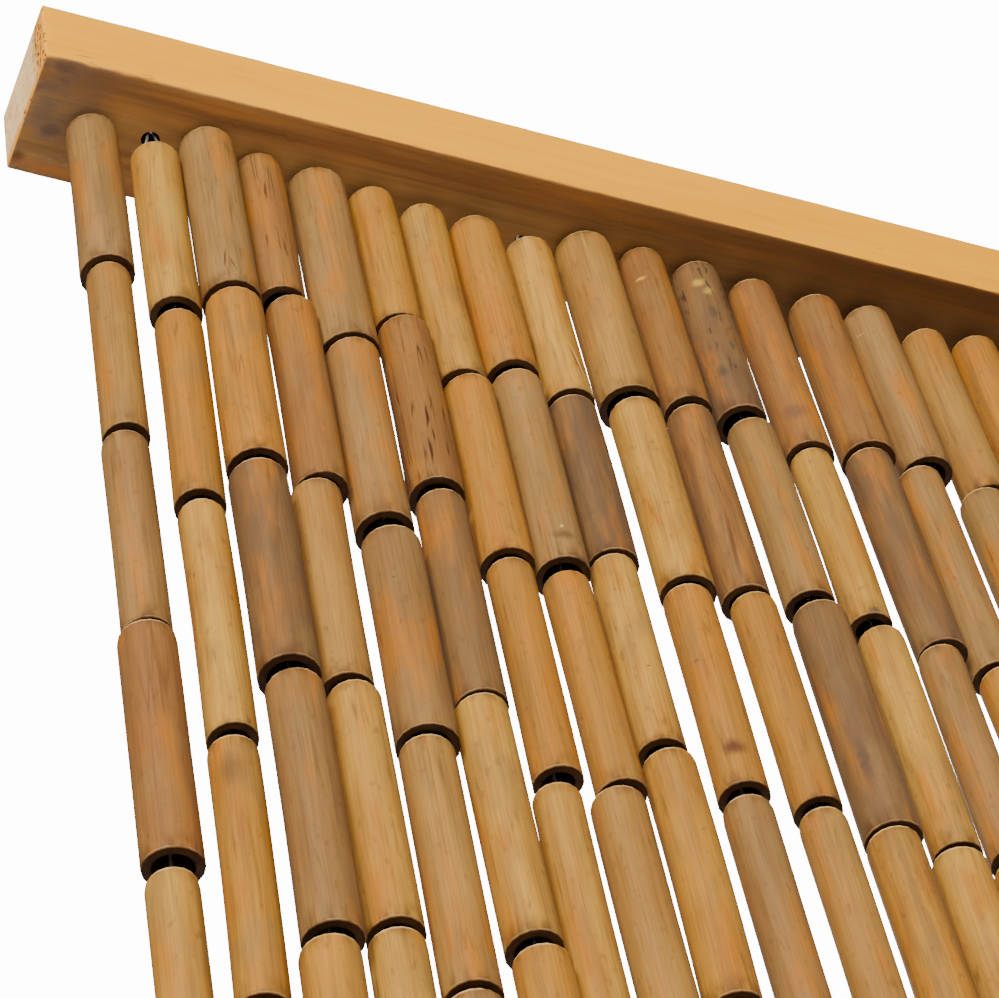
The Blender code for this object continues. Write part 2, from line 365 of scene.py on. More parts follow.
def make_stained_softwood():
    """Planed softwood wiped with an opaque yellow ochre stain, and left bare where it was sawn.

    To the eye: a nearly even matt ochre front with only faint grain; a browner, dirtier underside
    where the stain is thin and the grain shows as long streaks, its colours also painted darker as
    painted shade under the rail; rubbed arrises with splinters; and
    a pale pinkish end that the stain has soaked into along its edges, with short brown pores.
    Growth rings are 3 to 4 mm apart, and pores about 0.5 mm wide.
    """
    material, tree = new_material("ochre_stained_softwood")
    place = add_node(tree, "ShaderNodeTexCoord").outputs["Object"]
    wandering = crumpled(tree, place, 1.6, 4.0, 3.0)
    axes = add_node(tree, "ShaderNodeSeparateXYZ", links={"Vector": wandering})
    exact = add_node(tree, "ShaderNodeSeparateXYZ", links={"Vector": place})
    arris = attribute(tree, "arris")
    # The underside's mask: below it the colours are a thinner, browner stain, also painted darker as painted
    # shade under the rail.
    under = ramp(tree, exact.outputs["Z"], RAIL_LOW.z + 0.15 * MM, RAIL_LOW.z + 0.55 * MM, 1.0, 0.0)
    from_middle = calculate(tree, "ABSOLUTE", exact.outputs["X"])
    sawn = ramp(tree, from_middle, RAIL_HIGH.x - 0.45 * MM, RAIL_HIGH.x - 0.1 * MM)

    front = mix(tree, pattern(tree, place, (90, 9, 9), 0.35, 0.7), colour("#E89F06"), colour("#DF9506"))
    front = over(tree, front, "#B8701A", pattern(tree, place, (120, 1.1, 1.1), 0.45, 0.75, 2.0, 3.0), 0.12)
    front = over(tree, front, "#C98222", pattern(tree, place, (30, 5, 5), 0.55, 0.75, 2.0, 7.0), 0.35)
    cloudy = pattern(tree, place, (170, 6, 6), 0.36, 0.68, 3.0, 9.0)
    # The underside: a thinner, browner stain with streaky grain, its colours painted darker as painted shade
    # under the rail.
    low = mix(tree, cloudy, colour("#A87B48"), colour("#885F3A"))
    low = over(tree, low, "#5F3B1E", pattern(tree, place, (90, 1.5, 1.5), 0.44, 0.76, 3.0, 15.0), 0.26)
    low = over(tree, low, "#C07E38", pattern(tree, place, (50, 5, 5), 0.50, 0.74, 2.0, 19.0), 0.4)
    low = over(tree, low, "#7A5636", pattern(tree, place, (30, 9, 9), 0.55, 0.76, 2.0, 21.0), 0.5)
    handled = ramp(tree, exact.outputs["X"], RAIL_LOW.x + 1 * MM, RAIL_LOW.x + 30 * MM, 1.0, 0.0)
    grime = calculate(tree, "MULTIPLY", handled, pattern(tree, wandering, (9, 5, 5), 0.36, 0.66, 3.0, 25.0))
    low = over(tree, low, "#74645A", grime, 0.5)
    spotty = pattern(tree, wandering, (4, 1.4, 1.4), 0.44, 0.72, 3.0, 29.0)
    specks = calculate(tree, "MULTIPLY", grime, spotty)
    low = over(tree, low, "#4E3A2E", specks, 0.4)
    # Darker away from the left end.
    farther = ramp(tree, exact.outputs["X"], RAIL_LOW.x + 45 * MM, RAIL_LOW.x + 130 * MM)
    low = over(tree, low, "#4C2C12", farther, 0.30)
    for centre, size, code, amount in UNDER_MARKS:
        low = over(tree, low, code, blot(tree, wandering, centre, size, soft=0.8), amount)
    base = mix(tree, under, front, low)
    rub = calculate(tree, "MULTIPLY", pattern(tree, place, (7, 1.5, 1.5), 0.48, 0.62, 2.0, 33.0), arris)
    base = over(tree, base, "#8A5424", rub, 0.5)
    for centre, size, turn, code, amount in FRONT_MARKS:
        base = over(tree, base, code, blot(tree, place, centre, size, turn, 0.7), amount)
    uneven_end = pattern(tree, place, (4, 7, 7), 0.35, 0.65, 2.0, 39.0)
    bare = mix(tree, uneven_end, colour("#FCD69A"), colour("#EFBE82"))
    soaked_front = ramp(tree, axes.outputs["Y"], RAIL_LOW.y + 5.0 * MM, RAIL_LOW.y + 11.0 * MM, 1.0, 0.0)
    soaked_low = ramp(tree, axes.outputs["Z"], RAIL_LOW.z + 0.6 * MM, RAIL_LOW.z + 3.4 * MM, 1.0, 0.0)
    soaked = calculate(tree, "MAXIMUM", soaked_front, soaked_low)
    bare = over(tree, bare, "#E8960C", soaked, 0.85)
    pores = pattern(tree, wandering, (3, 1.2, 2.4), 0.56, 0.63, 1.0, 45.0)
    bare = over(tree, bare, "#7A4218", pores, 0.25)
    bare = over(tree, bare, "#6E3612", calculate(tree, "MULTIPLY", pores, soaked), 0.85)
    base = mix(tree, sawn, base, bare)
    grain = pattern(tree, place, (60, 0.7, 0.7), 0.3, 0.7, 3.0, 57.0)
    bump = add_node(tree, "ShaderNodeBump", settings={"Strength": 0.4, "Distance": 0.12 * MM},
                    links={"Height": grain})
    rough = ramp(tree, grain, 0.0, 1.0, 0.55, 0.7)
    shader = add_node(tree, "ShaderNodeBsdfPrincipled", settings={"IOR": 1.48, "Specular IOR Level": 0.08},
                      links={"Base Color": base, "Roughness": rough, "Normal": bump.outputs["Normal"]})
    add_node(tree, "ShaderNodeOutputMaterial", links={"Surface": shader.outputs["BSDF"]})
    return material


def make_drilled_softwood():
    """The holes' walls: raw fibres torn by the bit, painted almost black as painted shade inside the holes.
    """
    material, tree = new_material("drilled_softwood")
    place = add_node(tree, "ShaderNodeTexCoord").outputs["Object"]
    # Two near-black browns, mottled: painted shade inside the holes.
    shade_mottle = pattern(tree, place, (0.8, 0.8, 0.5), 0.4, 0.7)
    base = mix(tree, shade_mottle, colour("#120A06"), colour("#241409"))
    rough = ramp(tree, shade_mottle, 0.0, 1.0, 0.85, 0.95)
    shader = add_node(tree, "ShaderNodeBsdfPrincipled", settings={"IOR": 1.48, "Specular IOR Level": 0.1},
                      links={"Base Color": base, "Roughness": rough})
    add_node(tree, "ShaderNodeOutputMaterial", links={"Surface": shader.outputs["BSDF"]})
    return material


# Marks on the underside: handling smudges near the left end, thin streaks, and one large darker
# patch over its right part; and splinters and knocks on the front: centre in metres, half sizes in
# millimetres, for the front ones a turn in degrees, then the colour and how strong it is.
UNDER_MARKS = (
    ((-0.2728, -0.0139, -0.0123), (3.6, 2.6, 3.0), "#4E3E40", 0.7),
    ((-0.2757, -0.0185, -0.0123), (4.6, 7.0, 3.0), "#6E5C52", 0.6),
    ((-0.2785, -0.0045, -0.0123), (3.2, 3.4, 3.0), "#4A3428", 0.7),
    ((-0.2742, -0.0322, -0.0123), (4.0, 2.4, 3.0), "#5A4640", 0.55),
    ((-0.2640, -0.0327, -0.0123), (7.0, 1.2, 3.0), "#6A4E38", 0.3),
    ((-0.2620, -0.0120, -0.0123), (11.0, 3.0, 3.0), "#5E4C3C", 0.5),
    ((-0.2240, -0.0280, -0.0123), (24.0, 0.9, 3.0), "#5E3C20", 0.4),
    ((-0.1170, -0.0278, -0.0123), (16.0, 0.8, 3.0), "#5E3C20", 0.3),
    ((-0.2700, -0.0030, -0.0123), (14.0, 3.0, 3.0), "#B8702E", 0.5),
    # A large darker patch over the right part of the underside.
    ((-0.0200, -0.0170, -0.0123), (130.0, 60.0, 6.0), "#54361E", 0.75),
    ((-0.2700, -0.0230, -0.0123), (14.0, 22.0, 3.0), "#6E5848", 0.5),
)
FRONT_MARKS = (
    ((-0.2699, -0.0345, -0.0088), (3.6, 2.0, 0.28), -6.0, "#8E5A20", 0.8),
    ((-0.2690, -0.0345, -0.0094), (3.0, 2.0, 0.25), -6.0, "#EDAE50", 0.6),
    ((-0.2540, -0.0345, -0.0102), (3.2, 2.0, 0.26), -6.0, "#8E5A20", 0.8),
    ((-0.2620, -0.0345, -0.0112), (5.0, 2.0, 0.4), 0.0, "#D08A4A", 0.5),
    ((-0.0470, -0.0345, -0.0043), (1.6, 2.0, 0.4), 8.0, "#A9691C", 0.6),
    ((-0.1500, -0.0345, 0.0031), (2.6, 2.0, 0.25), 0.0, "#B4741E", 0.35),
    ((0.0980, -0.0345, -0.0050), (2.0, 2.0, 0.3), 5.0, "#A9691C", 0.5),
    ((0.2100, -0.0345, 0.0040), (3.0, 2.0, 0.3), -4.0, "#B4741E", 0.5),
)
rail_points, rail_arris = rail_sections()
station_count, section_points = rail_points.shape[:2]
left_cap = np.arange(section_points)[::-1]
right_cap = (station_count - 1) * section_points + np.arange(section_points)
rail_faces = loft_faces(station_count, section_points)
rail = mesh_from_arrays("rail_stained", rail_points.reshape(-1, 3), rail_faces, [left_cap, right_cap])
add_attribute(rail, "arris", "FLOAT", rail_arris)
rail.data.materials.append(make_stained_softwood())
holes, hole_radii = hole_places()
drill(rail, holes, hole_radii, make_drilled_softwood())
crease(rail, RAIL_CREASE_DEGREES)
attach(rail, "root")
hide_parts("rail")

# Bamboo tubes
# Thin cane sawn into pieces about 70 mm long, 10 to 13 mm across with a wall of about 2 mm. The
# top edge of each is rounded over and the bottom edge only broken. No cane is quite round or
# straight, and a few pieces have a node, the raised ring where a leaf grew.

CANE_SIDES = 18
SKIN_SHARE = 0.994
OVAL = 0.022
BOW = 0.4 * MM
SAW_TILT = 0.05
NODE_SHARE = 0.04
NODE_HALF_WIDTH = 1.3 * MM
NODE_INSETS = (0.16, -0.28, 0.1)
NODE_MASK = (0.8, 0.3, 1.0)
TILT_REACH = 4.0 * MM
CANE_CREASE_DEGREES = 42
CANE_SEED = 12

# A tube's lengthwise profile, up the skin and back down the bore: place along the length as a
# share, plus a distance in millimetres; how far inside the skin in millimetres; then how much of
# it is sawn and how much is bore.
CANE_PROFILE = (
    (0.0, 0.0, 1.9, 0.6, 0.8),
    (0.0, 0.0, 0.25, 1.0, 0.0),
    (0.0, 0.25, 0.0, 0.3, 0.0),
    (0.0, 1.3, 0.0, 0.0, 0.0),
    (0.3, 0.0, 0.05, 0.0, 0.0),
    (0.5, 0.0, 0.07, 0.0, 0.0),
    (0.7, 0.0, 0.05, 0.0, 0.0),
    (1.0, -2.2, 0.05, 0.0, 0.0),
    (1.0, -0.9, 0.2, 0.0, 0.0),
    (1.0, -0.25, 0.55, 0.0, 0.0),
    (1.0, 0.0, 1.05, 0.3, 0.0),
    (1.0, 0.0, 1.9, 0.6, 0.8),
)
PROFILE_MIDDLE = slice(4, 7)

# The tones that cane takes as it dries in the sun, each as its main and its second colour.
CANE_TONES = {
    "s": ("#B18335", "#A5752E"),
    "h": ("#AD792A", "#9F6B29"),
    "a": ("#A76D23", "#9C6B29"),
    "t": ("#9F7537", "#966A32"),
    "b": ("#8E6A3C", "#855F35"),
    "o": ("#936E3F", "#8A6737"),
    "r": ("#81552D", "#895F2E"),
    "u": ("#6C4F33", "#765633"),
}
DRAWN_TONES = "sssshhhaaatttrrbbboou"

# The strands and tubes that the photo shows have marks of their own. Their tones are drawn like all
# others, but for the few tubes that stand out to the eye as smoky, grey, reddish, amber or pale. They
# are given as strand and tube, counted from the left and the top.
SHOWN_STRANDS = 17
SHOWN_TUBES = 5
SHOWN_SEED = 1
STANDING_OUT = {
    "u": ((3, 3), (6, 3), (9, 2), (12, 1), (12, 3), (14, 2)),
    "o": ((1, 1), (12, 2)),
    "r": ((1, 4), (4, 1), (6, 2), (11, 1), (11, 2), (13, 1), (14, 1)),
    "a": ((2, 2), (7, 3), (8, 3), (10, 3)),
    "s": ((2, 1), (2, 3), (13, 2), (13, 3)),
}
# Strands and tubes that are marked, and how strongly: grown specks, smoke stains from the drying
# fire, or cracks along the grain. Then each kind of mark, with the share of the other tubes.
SPECKED = {(12, 1): 0.85}
SMOKED = {(11, 2): 0.6, (9, 2): 0.8, (12, 3): 0.4, (14, 2): 0.5, (12, 4): 0.4,
          (3, 3): 0.3, (1, 1): 0.3, (12, 1): 0.6}
CRACKED = {(6, 2): 0.8, (4, 1): 0.9, (9, 1): 0.4, (11, 2): 0.4, (3, 1): 0.3}
MARK_KINDS = (("specked", SPECKED, 0.06), ("smoked", SMOKED, 0.12), ("cracked", CRACKED, 0.08))
# How far a tube hangs off its strand's line to the right, in millimetres, where the photo shows it.
TUBE_SLIPS = {(2, 1): 0.5, (12, 1): -1.7, (12, 2): 0.3, (13, 2): -0.9, (14, 1): 0.2}
# A first tube is cut from the thicker end of the cane, so it is this much wider than its solid.
FIRST_TUBE_SHARE = 1.03
# Single marks on the first tubes: centre in metres, half sizes in millimetres, turn in degrees,
# colour and how strong it is. They are leaf scars, knocks, paler patches and soot, and a long pale
# band down the second strand's first tube that is a painted highlight.
CANE_MARKS = (
    ((-0.1330, -0.0231, -0.2157), (4.6, 2.5, 3.4), 15.0, "#4E281C", 0.9),
    ((-0.1346, -0.0216, -0.1857), (0.9, 2.0, 0.8), 0.0, "#6A3E2C", 0.7),
    ((-0.1177, -0.0222, -0.0289), (2.2, 2.5, 1.0), -15.0, "#CC9838", 0.75),
    ((-0.1012, -0.0236, -0.0262), (2.4, 2.5, 2.6), 0.0, "#B8943E", 0.75),
    ((-0.0995, -0.0236, -0.0305), (1.9, 2.5, 2.8), 0.0, "#B8943E", 0.7),
    ((-0.1068, -0.0215, -0.0401), (1.5, 4.0, 8.0), 0.0, "#3E3A2C", 0.6),
    ((-0.1000, -0.0230, -0.0398), (1.8, 3.0, 4.6), 0.0, "#34342A", 0.85),
    ((-0.0982, -0.0230, -0.0545), (1.2, 3.0, 4.0), 0.0, "#34342A", 0.85),
    ((-0.1025, -0.0230, -0.0651), (1.7, 3.0, 4.4), 0.0, "#3E3A2C", 0.8),
    ((-0.0900, -0.0225, -0.0290), (5.0, 4.0, 3.4), 0.0, "#6E4238", 0.7),
    ((-0.0850, -0.0230, -0.0760), (6.0, 4.0, 4.4), 0.0, "#5E3E34", 0.6),
    # A long pale band down the second strand's first tube: a painted highlight.
    ((-0.2480, -0.0235, -0.0520), (5.0, 5.0, 30.0), 0.0, "#C0A14A", 0.3),
    ((-0.0525, -0.0202, -0.0274), (1.1, 2.5, 0.35), 10.0, "#CFA662", 0.6),
    ((-0.2505, -0.0223, -0.2525), (4.6, 3.0, 7.0), 0.0, "#4A3420", 0.5),
    ((-0.0825, -0.0229, -0.1548), (2.6, 2.5, 2.6), 0.0, "#4A4038", 0.75),
    ((-0.0996, -0.0227, -0.2110), (1.6, 2.5, 13.0), 0.0, "#4A3726", 0.7),
    ((-0.1493, -0.0238, -0.1941), (0.6, 2.5, 0.6), 0.0, "#4A2C18", 0.8),
    ((-0.1620, -0.0241, -0.1490), (0.5, 2.5, 0.45), 0.0, "#E4C890", 0.5),
    ((-0.2068, -0.0230, -0.1802), (0.6, 2.5, 0.6), 0.0, "#50331C", 0.8),
    ((-0.1618, -0.0238, -0.1520), (4.0, 3.0, 2.6), 0.0, "#4A3A28", 0.7),
)
# Splits along the grain of some of the first tubes, in the same columns.
CANE_SPLITS = (
    ((-0.1906, -0.0243, -0.1172), (0.55, 2.5, 7.0), 4.0, "#35190A", 0.95),
    ((-0.1912, -0.0240, -0.1300), (0.55, 2.5, 7.5), 1.6, "#35190A", 0.95),
    ((-0.1890, -0.0240, -0.1120), (0.35, 2.5, 5.0), 6.0, "#45240F", 0.8),
    ((-0.1455, -0.0234, -0.0776), (0.45, 2.5, 8.0), -8.0, "#6A300C", 0.9),
    ((-0.1438, -0.0234, -0.0800), (0.30, 2.5, 6.0), -6.0, "#5A2A0E", 0.8),
    ((-0.1447, -0.0234, -0.0776), (0.30, 2.5, 8.0), -8.0, "#E8C080", 0.6),
    ((-0.2370, -0.0269, -0.0740), (0.40, 2.5, 6.0), 3.0, "#452410", 0.8),
    ((-0.2352, -0.0269, -0.0765), (0.35, 2.5, 4.0), -14.0, "#452410", 0.8),
    ((-0.2215, -0.0236, -0.0330), (0.45, 2.5, 6.0), 3.0, "#3E200E", 0.85),
    ((-0.2190, -0.0232, -0.0580), (0.45, 2.5, 6.0), -4.0, "#3E200E", 0.8),
    ((-0.2587, -0.0219, -0.0323), (0.40, 2.5, 8.0), 0.0, "#6E3418", 0.7),
    ((-0.1158, -0.0226, -0.1380), (0.90, 2.5, 17.0), 3.0, "#4A2A1A", 0.7),
)


def strand_tubes(name):
    """Top centre, bottom centre and radius of each tube of a strand, as arrays with a row a tube.

    The solid's first section is the top of the narrow part that stands for the wire loop. After it
    the sections go in pairs, the top and the bottom of a tube.
    """
    rows = strand_sections(name)[1:]
    for (strand_number, tube), slip in TUBE_SLIPS.items():
        if name == "strand_%02d" % strand_number:
            rows[2 * tube - 2:2 * tube, 0] += slip * MM
    tube_radii = rows[1::2, 3] / 2 * SKIN_SHARE
    tube_radii[0] *= FIRST_TUBE_SHARE
    return rows[0::2, :3], rows[1::2, :3], tube_radii


def tube_tones(strand_number, count, draw, shown_draw):
    """Each tube's main and second colour, drawn, but for the tubes that stand out."""
    shown = SHOWN_TUBES if strand_number <= SHOWN_STRANDS else 0
    letters = [*shown_draw.choice(list(DRAWN_TONES), size=shown),
               *draw.choice(list(DRAWN_TONES), size=count - shown)]
    for tone, tubes in STANDING_OUT.items():
        for strand, tube in tubes:
            if strand == strand_number:
                letters[tube - 1] = tone
    main = np.array([hex_to_linear(CANE_TONES[letter][0]) for letter in letters])
    second = np.array([hex_to_linear(CANE_TONES[letter][1]) for letter in letters])
    lighter = draw.uniform(0.92, 1.08, size=(count, 1))
    return main * lighter, second * lighter


def tube_marks(chart, share, strand_number, count, draw):
    """How strongly each tube is marked: as listed for the shown tubes, and drawn for the others."""
    marks = np.where(draw.uniform(size=count) < share, draw.uniform(0.2, 0.8, size=count), 0.0)
    if strand_number <= SHOWN_STRANDS:
        marks[:SHOWN_TUBES] = [chart.get((strand_number, tube + 1), 0.0) for tube in range(SHOWN_TUBES)]
    return marks


def tube_faces(pieces, rows, sides):
    """Quads of many closed tubes, whose last row of points joins to their first one."""
    piece, row, side = np.meshgrid(np.arange(pieces), np.arange(rows), np.arange(sides), indexing="ij")
    after = (side + 1) % sides
    start = (piece * rows + row) * sides
    next_start = (piece * rows + (row + 1) % rows) * sides
    corners = [start + side, start + after, next_start + after, next_start + side]
    return np.stack(corners, axis=-1).reshape(-1, 4)


def cane_surface(tops, bottoms, radii, draw):
    """The points of a strand's tubes, and what the cane's material needs at each of them.

    A point lies on a circle about the tube's line, at the profile's distance along it. The circle
    is stretched a little one way (oval), its centre leaves the line by a half sine (bow), and near
    an end the height tilts with the angle, as the saw left it.
    """
    count = len(radii)
    lengths = tops[:, 2] - bottoms[:, 2]
    share, distance, inset, sawn, bore = np.array(CANE_PROFILE).T
    along = share[None, :] * lengths[:, None] + distance[None, :] * MM
    inset = np.repeat(inset[None, :] * MM, count, axis=0)
    has_node = (draw.uniform(size=count) < NODE_SHARE)[:, None]
    node_place = draw.uniform(0.25, 0.75, size=(count, 1)) * lengths[:, None]
    node_rows = node_place + np.array([[-1.0, 0.0, 1.0]]) * NODE_HALF_WIDTH
    along[:, PROFILE_MIDDLE] = np.where(has_node, node_rows, along[:, PROFILE_MIDDLE])
    inset[:, PROFILE_MIDDLE] = np.where(has_node, np.array([NODE_INSETS]) * MM, inset[:, PROFILE_MIDDLE])

    angle = (np.arange(CANE_SIDES) * 2 * pi / CANE_SIDES)[None, None, :]
    turns = draw.uniform(0, 2 * pi, size=(4, count))[:, :, None, None]
    amounts = draw.uniform(0, 1, size=(4, count))[:, :, None, None]
    radius = (radii[:, None] - inset)[:, :, None] * (1 + OVAL * amounts[0] * np.cos(2 * (angle - turns[0])))
    part = (along / lengths[:, None])[:, :, None]
    bow = BOW * amounts[1] * np.sin(pi * np.clip(part, 0, 1))
    centre = bottoms[:, None, None, :] + (tops - bottoms)[:, None, None, :] * part[:, :, :, None]
    near_low = np.clip(1 - along / TILT_REACH, 0, 1)[:, :, None]
    near_high = np.clip(1 - (lengths[:, None] - along) / TILT_REACH, 0, 1)[:, :, None]
    tilt = SAW_TILT * radii[:, None, None] * (near_low * amounts[2] * (np.cos(angle - turns[2]) + 1)
                                              - near_high * amounts[3] * (np.cos(angle - turns[3]) + 1))
    points = np.stack([centre[..., 0] + bow * np.cos(turns[1]) + radius * np.cos(angle),
                       centre[..., 1] + bow * np.sin(turns[1]) + radius * np.sin(angle),
                       centre[..., 2] + tilt], axis=-1)

    height = np.broadcast_to(along[:, :, None], radius.shape)
    shift = draw.uniform(0, 40, size=(count, 1, 1, 3))
    cane = np.stack([radius * np.cos(angle), radius * np.sin(angle), height], axis=-1) + shift
    spread = np.ones(radius.shape)
    node_ring = np.zeros(inset.shape)
    node_ring[:, PROFILE_MIDDLE] = has_node * np.array([NODE_MASK])
    masks = {"sawn": sawn[None, :, None] * spread, "bore": bore[None, :, None] * spread,
             "from_low": height, "from_high": lengths[:, None, None] - height,
             "node_ring": node_ring[:, :, None] * spread}
    return points.reshape(-1, 3), cane.reshape(-1, 3), masks


def each_point(values):
    """One value a tube, repeated for each of its points."""
    return np.repeat(values, len(CANE_PROFILE) * CANE_SIDES, axis=0)


def with_alpha(colours):
    """Linear colours with an alpha of one beside them."""
    return np.hstack([colours, np.ones((len(colours), 1))])


def make_bamboo():
    """Sun-dried bamboo cane with its own glassy skin, tumbled but not varnished.

    To the eye: one tone a piece, which turns into a second one in soft lengthwise clouds; hair
    fine fibres; a satin sheen; a few smoke stains, cracks and specks; ends browner and darker,
    from grime and from painted shade at the joints, with a pale rim of rubbed skin and painted
    highlight; sawn faces and bore painted dark as painted shade; and the single marks and splits
    of the first tubes, one a pale band that is a painted highlight. The fibres are about 0.25 mm
    wide on real cane, and are drawn 0.5 mm wide so that they show.
    """
    material, tree = new_material("sun_dried_bamboo")
    place = attribute(tree, "cane", "Vector")
    whole = add_node(tree, "ShaderNodeTexCoord").outputs["Object"]
    skin, blush = attribute(tree, "skin", "Color"), attribute(tree, "blush", "Color")

    base = mix(tree, pattern(tree, place, (10, 10, 46), 0.38, 0.64), skin, blush)
    base = over(tree, base, "#A86414", pattern(tree, place, (7, 7, 34), 0.48, 0.72, 3.0, 11.0), 0.75)
    base = over(tree, base, "#85673A", pattern(tree, place, (7, 7, 20), 0.48, 0.74, 3.0, 23.0), 0.55)
    base = over(tree, base, "#5A3D24", pattern(tree, place, (2.6, 2.6, 60), 0.46, 0.74, 3.0, 31.0), 0.35)
    fibres = pattern(tree, place, (0.5, 0.5, 20), 0.35, 0.70, 2.0, 5.0)
    base = over(tree, base, "#4A3018", fibres, 0.24)
    base = over(tree, base, "#5A4028", pattern(tree, place, (1.8, 1.8, 3.4), 0.58, 0.78, 2.0, 41.0), 0.40)
    smoke = pattern(tree, place, (3.4, 3.4, 26), 0.36, 0.68, 3.0, 53.0)
    base = over(tree, base, "#54402F", smoke, 1.0, attribute(tree, "smoked"))
    hairs = hairlines(tree, place, (2.2, 2.2, 60), 0.030, 65.0)
    base = over(tree, base, "#4A3018", hairs, 0.45, pattern(tree, place, (6, 6, 20), 0.45, 0.7, 2.0, 66.0))
    cracks = hairlines(tree, place, (3.0, 3.0, 70), 0.026, 67.0)
    cracked = calculate(tree, "MULTIPLY", attribute(tree, "cracked"),
                        pattern(tree, place, (5, 5, 16), 0.46, 0.58, 2.0, 68.0))
    base = over(tree, base, "#2A180C", cracks, 1.0, cracked)
    wandering = crumpled(tree, whole, 0.7, 2.2, 5.0)
    calm = crumpled(tree, whole, 0.45, 5.0, 8.0)
    for marks, spot, soft in ((CANE_MARKS, wandering, 0.85), (CANE_SPLITS, calm, 0.8)):
        for centre, size, turn, code, amount in marks:
            base = over(tree, base, code, blot(tree, spot, centre, size, turn, soft), amount)
    flecks = calculate(tree, "MULTIPLY", pattern(tree, place, (0.8, 0.8, 3.6), 0.50, 0.66, 1.0, 61.0),
                       pattern(tree, place, (4, 4, 9), 0.50, 0.62, 1.0, 62.0))
    base = over(tree, base, "#33281F", flecks, 1.0, attribute(tree, "specked"))

    from_low, from_high = attribute(tree, "from_low"), attribute(tree, "from_high")
    sawn = attribute(tree, "sawn")
    # Browner and darker towards both ends of a tube, in patches: grime, and painted shade at the joints.
    ends = calculate(tree, "MAXIMUM", ramp(tree, from_low, 0.0, 6.5 * MM, 1.0, 0.0),
                     ramp(tree, from_high, 0.0, 5.0 * MM, 1.0, 0.0))
    patchy_grime_and_shade = pattern(tree, place, (3.2, 3.2, 9), 0.40, 0.66, 3.0, 79.0)
    base = over(tree, base, "#4A2F1A", ends, 0.7, patchy_grime_and_shade)
    # A pale rim along the rounded top edge: rubbed skin and a painted highlight.
    rim = ramp(tree, from_high, 0.5 * MM, 1.3 * MM, 1.0, 0.0)
    base = over(tree, base, "#DDB67A", rim, 0.85, pattern(tree, place, (4, 4, 9), 0.25, 0.55, 2.0, 77.0))
    lip = calculate(tree, "SUBTRACT", ramp(tree, from_low, 0.4 * MM, 0.8 * MM, 1.0, 0.0), sawn)
    base = over(tree, base, "#D0A468", calculate(tree, "MAXIMUM", lip, 0.0), 0.55,
                pattern(tree, place, (4, 4, 9), 0.30, 0.60, 2.0, 78.0))
    base = over(tree, base, "#6A4A28", attribute(tree, "node_ring"), 0.5)
    # Sawn faces dark brown and the bore nearly black: painted shade in the joints and inside the tubes.
    base = mix(tree, sawn, base, colour("#2E190C"))
    base = mix(tree, attribute(tree, "bore"), base, colour("#22100A"))

    rough = ramp(tree, pattern(tree, place, (3, 3, 16), 0.3, 0.7, 2.0, 83.0), 0.0, 1.0, 0.48, 0.64)
    waves = pattern(tree, place, (5, 5, 14), 0.2, 0.8, 2.0, 91.0)
    bump = add_node(tree, "ShaderNodeBump", settings={"Strength": 0.3, "Distance": 0.12 * MM},
                    links={"Height": calculate(tree, "MULTIPLY_ADD", fibres, 0.3, waves)})
    shader = add_node(tree, "ShaderNodeBsdfPrincipled", settings={"IOR": 1.47, "Specular IOR Level": 0.16},
                      links={"Base Color": base, "Roughness": rough, "Normal": bump.outputs["Normal"]})
    add_node(tree, "ShaderNodeOutputMaterial", links={"Surface": shader.outputs["BSDF"]})
    return material


bamboo = make_bamboo()
cane_draw = np.random.default_rng(CANE_SEED)
shown_draw = np.random.default_rng(SHOWN_SEED)
for strand_number, strand_name in enumerate(STRAND_NAMES, start=1):
    tops, bottoms, radii = strand_tubes(strand_name)
    count = len(radii)
    points, cane, masks = cane_surface(tops, bottoms, radii, cane_draw)
    tubes = mesh_from_arrays(strand_name + "_tubes", points, tube_faces(count, len(CANE_PROFILE), CANE_SIDES))
    main_tone, second_tone = tube_tones(strand_number, count, cane_draw, shown_draw)
    add_attribute(tubes, "cane", "FLOAT_VECTOR", cane)
    add_attribute(tubes, "skin", "FLOAT_COLOR", with_alpha(each_point(main_tone)))
    add_attribute(tubes, "blush", "FLOAT_COLOR", with_alpha(each_point(second_tone)))
    for mark, chart, share in MARK_KINDS:
        masks[mark] = each_point(tube_marks(chart, share, strand_number, count, cane_draw))
    for mask_name, mask_values in masks.items():
        add_attribute(tubes, mask_name, "FLOAT", mask_values)
    tubes.data.materials.append(bamboo)
    crease(tubes, CANE_CREASE_DEGREES)
    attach(tubes, "root")
    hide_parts(strand_name)

# Strand wires
# One galvanised steel wire a strand, 0.8 mm thick. It hangs from its hole in the rail as a narrow
# loop, whose two legs go into the first tube, and runs on inside the tubes to the last one.

WIRE_RADIUS = 0.4 * MM
WIRE_SIDES = 6
LOOP_RISE = 2.0 * MM
LOOP_HALF_WIDTH = 0.6 * MM
LOOP_POINTS = 9
LOOP_FORWARD = 0.8 * MM
LEG_SLOPE = 0.22
LEG_IN_TUBE = 9.0 * MM
WIRE_BELOW_TOP = 2.0 * MM
WIRE_ABOVE_FOOT = 3.0 * MM


def wire_along(path):
    """Points of round wire along a path of points: a small circle square to the path at each.

    The circle's first direction is the path's direction crossed with a fixed one, and its second
    is square to both.
    """
    run = np.gradient(path, axis=0)
    run /= np.linalg.norm(run, axis=1, keepdims=True)
    across = np.cross(run, np.array([0.0, 1.0, 0.0]))
    across /= np.linalg.norm(across, axis=1, keepdims=True)
    other = np.cross(run, across)
    angle = np.arange(WIRE_SIDES) * 2 * pi / WIRE_SIDES
    ring = (across[:, None, :] * np.cos(angle)[None, :, None]
            + other[:, None, :] * np.sin(angle)[None, :, None])
    return (path[:, None, :] + WIRE_RADIUS * ring).reshape(-1, 3)


